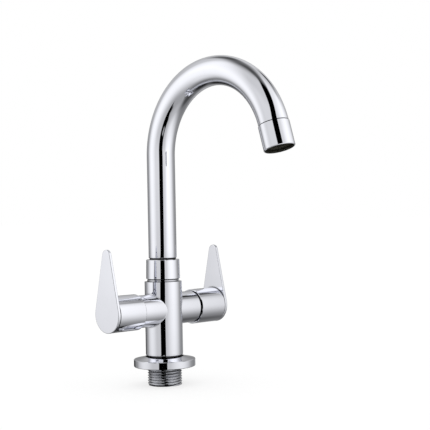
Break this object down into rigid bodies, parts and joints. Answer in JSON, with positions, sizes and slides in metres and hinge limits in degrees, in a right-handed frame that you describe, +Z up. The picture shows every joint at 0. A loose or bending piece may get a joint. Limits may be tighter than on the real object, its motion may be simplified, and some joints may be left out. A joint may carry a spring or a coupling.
{
  "type": "centre hole basin mixer",
  "caption": "Chrome basin mixer for one tap hole, with a high swan-neck swivel spout and quarter-turn lever handles on arms either side of its column.",
  "frame": {"origin": "centre of the base flange's underside, on the column's axis, where the mixer stands on the basin", "axes": "+Z up along the column, -Y forward to the user and along the spout at rest, +X to the cold handle and -X to the hot one"},
  "size_m": [0.1146, 0.1597, 0.2859],
  "materials": {
    "polished_chrome": "mirror plated",
    "brass": "turned",
    "steel": "satin",
    "black_rubber": "matte",
    "black_plastic": "matte",
    "aerator_plastic": "satin",
    "white_ceramic": "lapped"
  },
  "bodies": {
    "body": {"mixer_body": "polished_chrome", "base_flange": "polished_chrome", "flange_gasket": "black_rubber", "shank": "polished_chrome", "deck_washer": "black_rubber", "clamp_washer": "steel", "back_nut": "brass", "collar_nut": "polished_chrome", "glide_ring": "black_plastic", "cold_gland": "brass", "cold_gland_o_ring": "black_rubber", "cold_seat_seal": "black_rubber", "cold_fixed_disc": "white_ceramic", "hot_gland": "brass", "hot_gland_o_ring": "black_rubber", "hot_seat_seal": "black_rubber", "hot_fixed_disc": "white_ceramic"},
    "spout": {"spout_tube": "polished_chrome", "spout_foot": "brass", "spout_o_rings": "black_rubber", "spout_keeper": "steel", "outlet_bush": "brass", "nozzle": "polished_chrome", "aerator_seal": "black_rubber", "aerator_cup": "aerator_plastic", "jet_disc": "aerator_plastic", "aerator_screen": "steel", "aerator_grid": "aerator_plastic"},
    "cold_handle": {"cold_moving_disc": "white_ceramic", "cold_spindle": "brass", "cold_spindle_o_rings": "black_rubber", "cold_slip_washer": "black_plastic", "cold_circlip": "steel", "cold_handle_hub": "polished_chrome", "cold_handle_paddle": "polished_chrome", "cold_paddle_screw": "steel", "cold_spline_insert": "black_plastic", "cold_grub_screw": "steel"},
    "hot_handle": {"hot_moving_disc": "white_ceramic", "hot_spindle": "brass", "hot_spindle_o_rings": "black_rubber", "hot_slip_washer": "black_plastic", "hot_circlip": "steel", "hot_handle_hub": "polished_chrome", "hot_handle_paddle": "polished_chrome", "hot_paddle_screw": "steel", "hot_spline_insert": "black_plastic", "hot_grub_screw": "steel"}
  },
  "joints": [
    {"name": "spout_swivel", "type": "hinge", "parent": "body", "child": "spout", "pos_m": [0, 0, 0.085], "axis": [0, 0, 1], "continuous": true},
    {"name": "cold_handle_turn", "type": "hinge", "parent": "body", "child": "cold_handle", "pos_m": [0, 0, 0.0443], "axis": [1, 0, 0], "range_deg": [0, 90]},
    {"name": "hot_handle_turn", "type": "hinge", "parent": "body", "child": "hot_handle", "pos_m": [0, 0, 0.0443], "axis": [1, 0, 0], "range_deg": [0, 90]}
  ]
}
